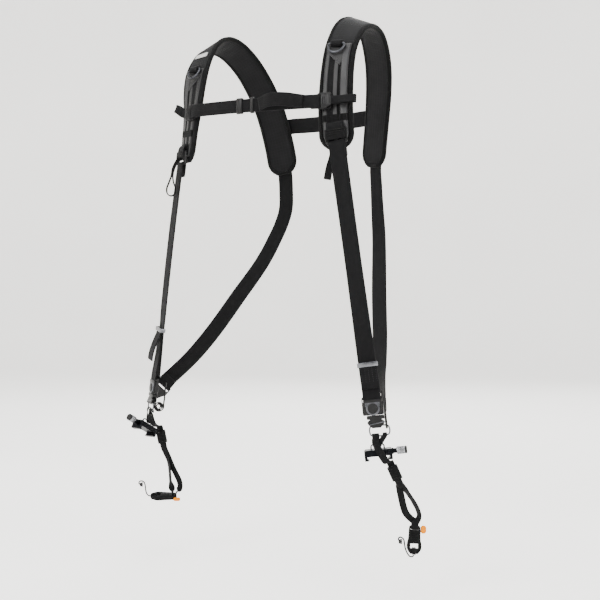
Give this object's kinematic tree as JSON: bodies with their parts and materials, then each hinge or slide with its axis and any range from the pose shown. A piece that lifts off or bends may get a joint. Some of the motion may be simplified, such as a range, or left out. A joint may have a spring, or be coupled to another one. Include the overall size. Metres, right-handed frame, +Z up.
{
  "type": "dual camera harness strap",
  "caption": "Worn dual shoulder camera harness: padded shoulder straps joined at chest and back, webbing to quick connectors, plate clamps and safety tethers at the hips.",
  "frame": {"origin": "midway between the shoulders, at the height where the pads rest on them", "axes": "+Z up, -Y ahead of the wearer, +X to the wearer's left"},
  "size_m": [0.4992, 0.2528, 0.7774],
  "materials": {
    "webbing": "woven nylon webbing, matt",
    "pad_cloth": "ripstop cloth over foam, matt",
    "leather": "grained leather, satin",
    "plastic": "moulded, fine matt",
    "gunmetal": "dark plated wire, satin",
    "steel": "brushed",
    "clamp_metal": "black anodised, satin",
    "cord": "braided cord",
    "tab": "soft orange tab"
  },
  "bodies": {
    "harness": {"back_cross_strap": "webbing", "left_back_link": "plastic", "left_back_webbing": "webbing", "left_clamp_body": "clamp_metal", "left_connector_body": "plastic", "left_connector_plate": "gunmetal", "left_connector_ring": "steel", "left_connector_yoke": "plastic", "left_d_ring": "gunmetal", "left_d_ring_tab": "webbing", "left_front_webbing": "webbing", "left_hanger": "webbing", "left_ladder_lock": "plastic", "left_lock_tab": "webbing", "left_lug_cord": "cord", "left_pad_panel": "leather", "left_pad_tail": "webbing", "left_pull_tab": "tab", "left_push_button": "plastic", "left_shoulder_pad": "pad_cloth", "left_sternum_lock": "plastic", "left_sternum_loop": "webbing", "left_strap_slider": "steel", "left_tether_link": "plastic", "left_tether_slider": "plastic", "left_tether_strap": "webbing", "right_back_link": "plastic", "right_back_webbing": "webbing", "right_clamp_body": "clamp_metal", "right_connector_body": "plastic", "right_connector_plate": "gunmetal", "right_connector_ring": "steel", "right_connector_yoke": "plastic", "right_d_ring": "gunmetal", "right_d_ring_tab": "webbing", "right_front_webbing": "webbing", "right_hanger": "webbing", "right_ladder_lock": "plastic", "right_lock_tab": "webbing", "right_lug_cord": "cord", "right_pad_panel": "leather", "right_pad_tail": "webbing", "right_pull_tab": "tab", "right_push_button": "plastic", "right_shoulder_pad": "pad_cloth", "right_sternum_lock": "plastic", "right_sternum_loop": "webbing", "right_strap_slider": "steel", "right_tether_link": "plastic", "right_tether_slider": "plastic", "right_tether_strap": "webbing", "right_webbing_bundle": "webbing", "sternum_bow": "webbing", "sternum_keeper": "plastic", "sternum_slider": "plastic", "sternum_webbing": "webbing"},
    "left_jaw": {"left_clamp_jaw": "clamp_metal"},
    "left_knob": {"left_clamp_knob": "steel"},
    "right_jaw": {"right_clamp_jaw": "clamp_metal"},
    "right_knob": {"right_clamp_knob": "steel"}
  },
  "joints": [
    {"name": "left_jaw_slide", "type": "slide", "parent": "harness", "child": "left_jaw", "axis": [0.8341, 0.5417, 0.1045], "range_m": [0, 0.0033]},
    {"name": "left_knob_turn", "type": "hinge", "parent": "left_jaw", "child": "left_knob", "pos_m": [0.23545, -0.08346, -0.60654], "axis": [0.8341, 0.5417, 0.1045], "range_deg": [0, 1440]},
    {"name": "right_jaw_slide", "type": "slide", "parent": "harness", "child": "right_jaw", "axis": [-0.077, -0.8796, 0.4695], "range_m": [0, 0.0033]},
    {"name": "right_knob_turn", "type": "hinge", "parent": "right_jaw", "child": "right_knob", "pos_m": [-0.21578, -0.10261, -0.59311], "axis": [-0.077, -0.8796, 0.4695], "range_deg": [0, 1440]}
  ],
  "couplings": [
    {"joint": "left_jaw_slide", "follows": "left_knob_turn", "m_per_rad": 0.00012732},
    {"joint": "right_jaw_slide", "follows": "right_knob_turn", "m_per_rad": 0.00012732}
  ]
}
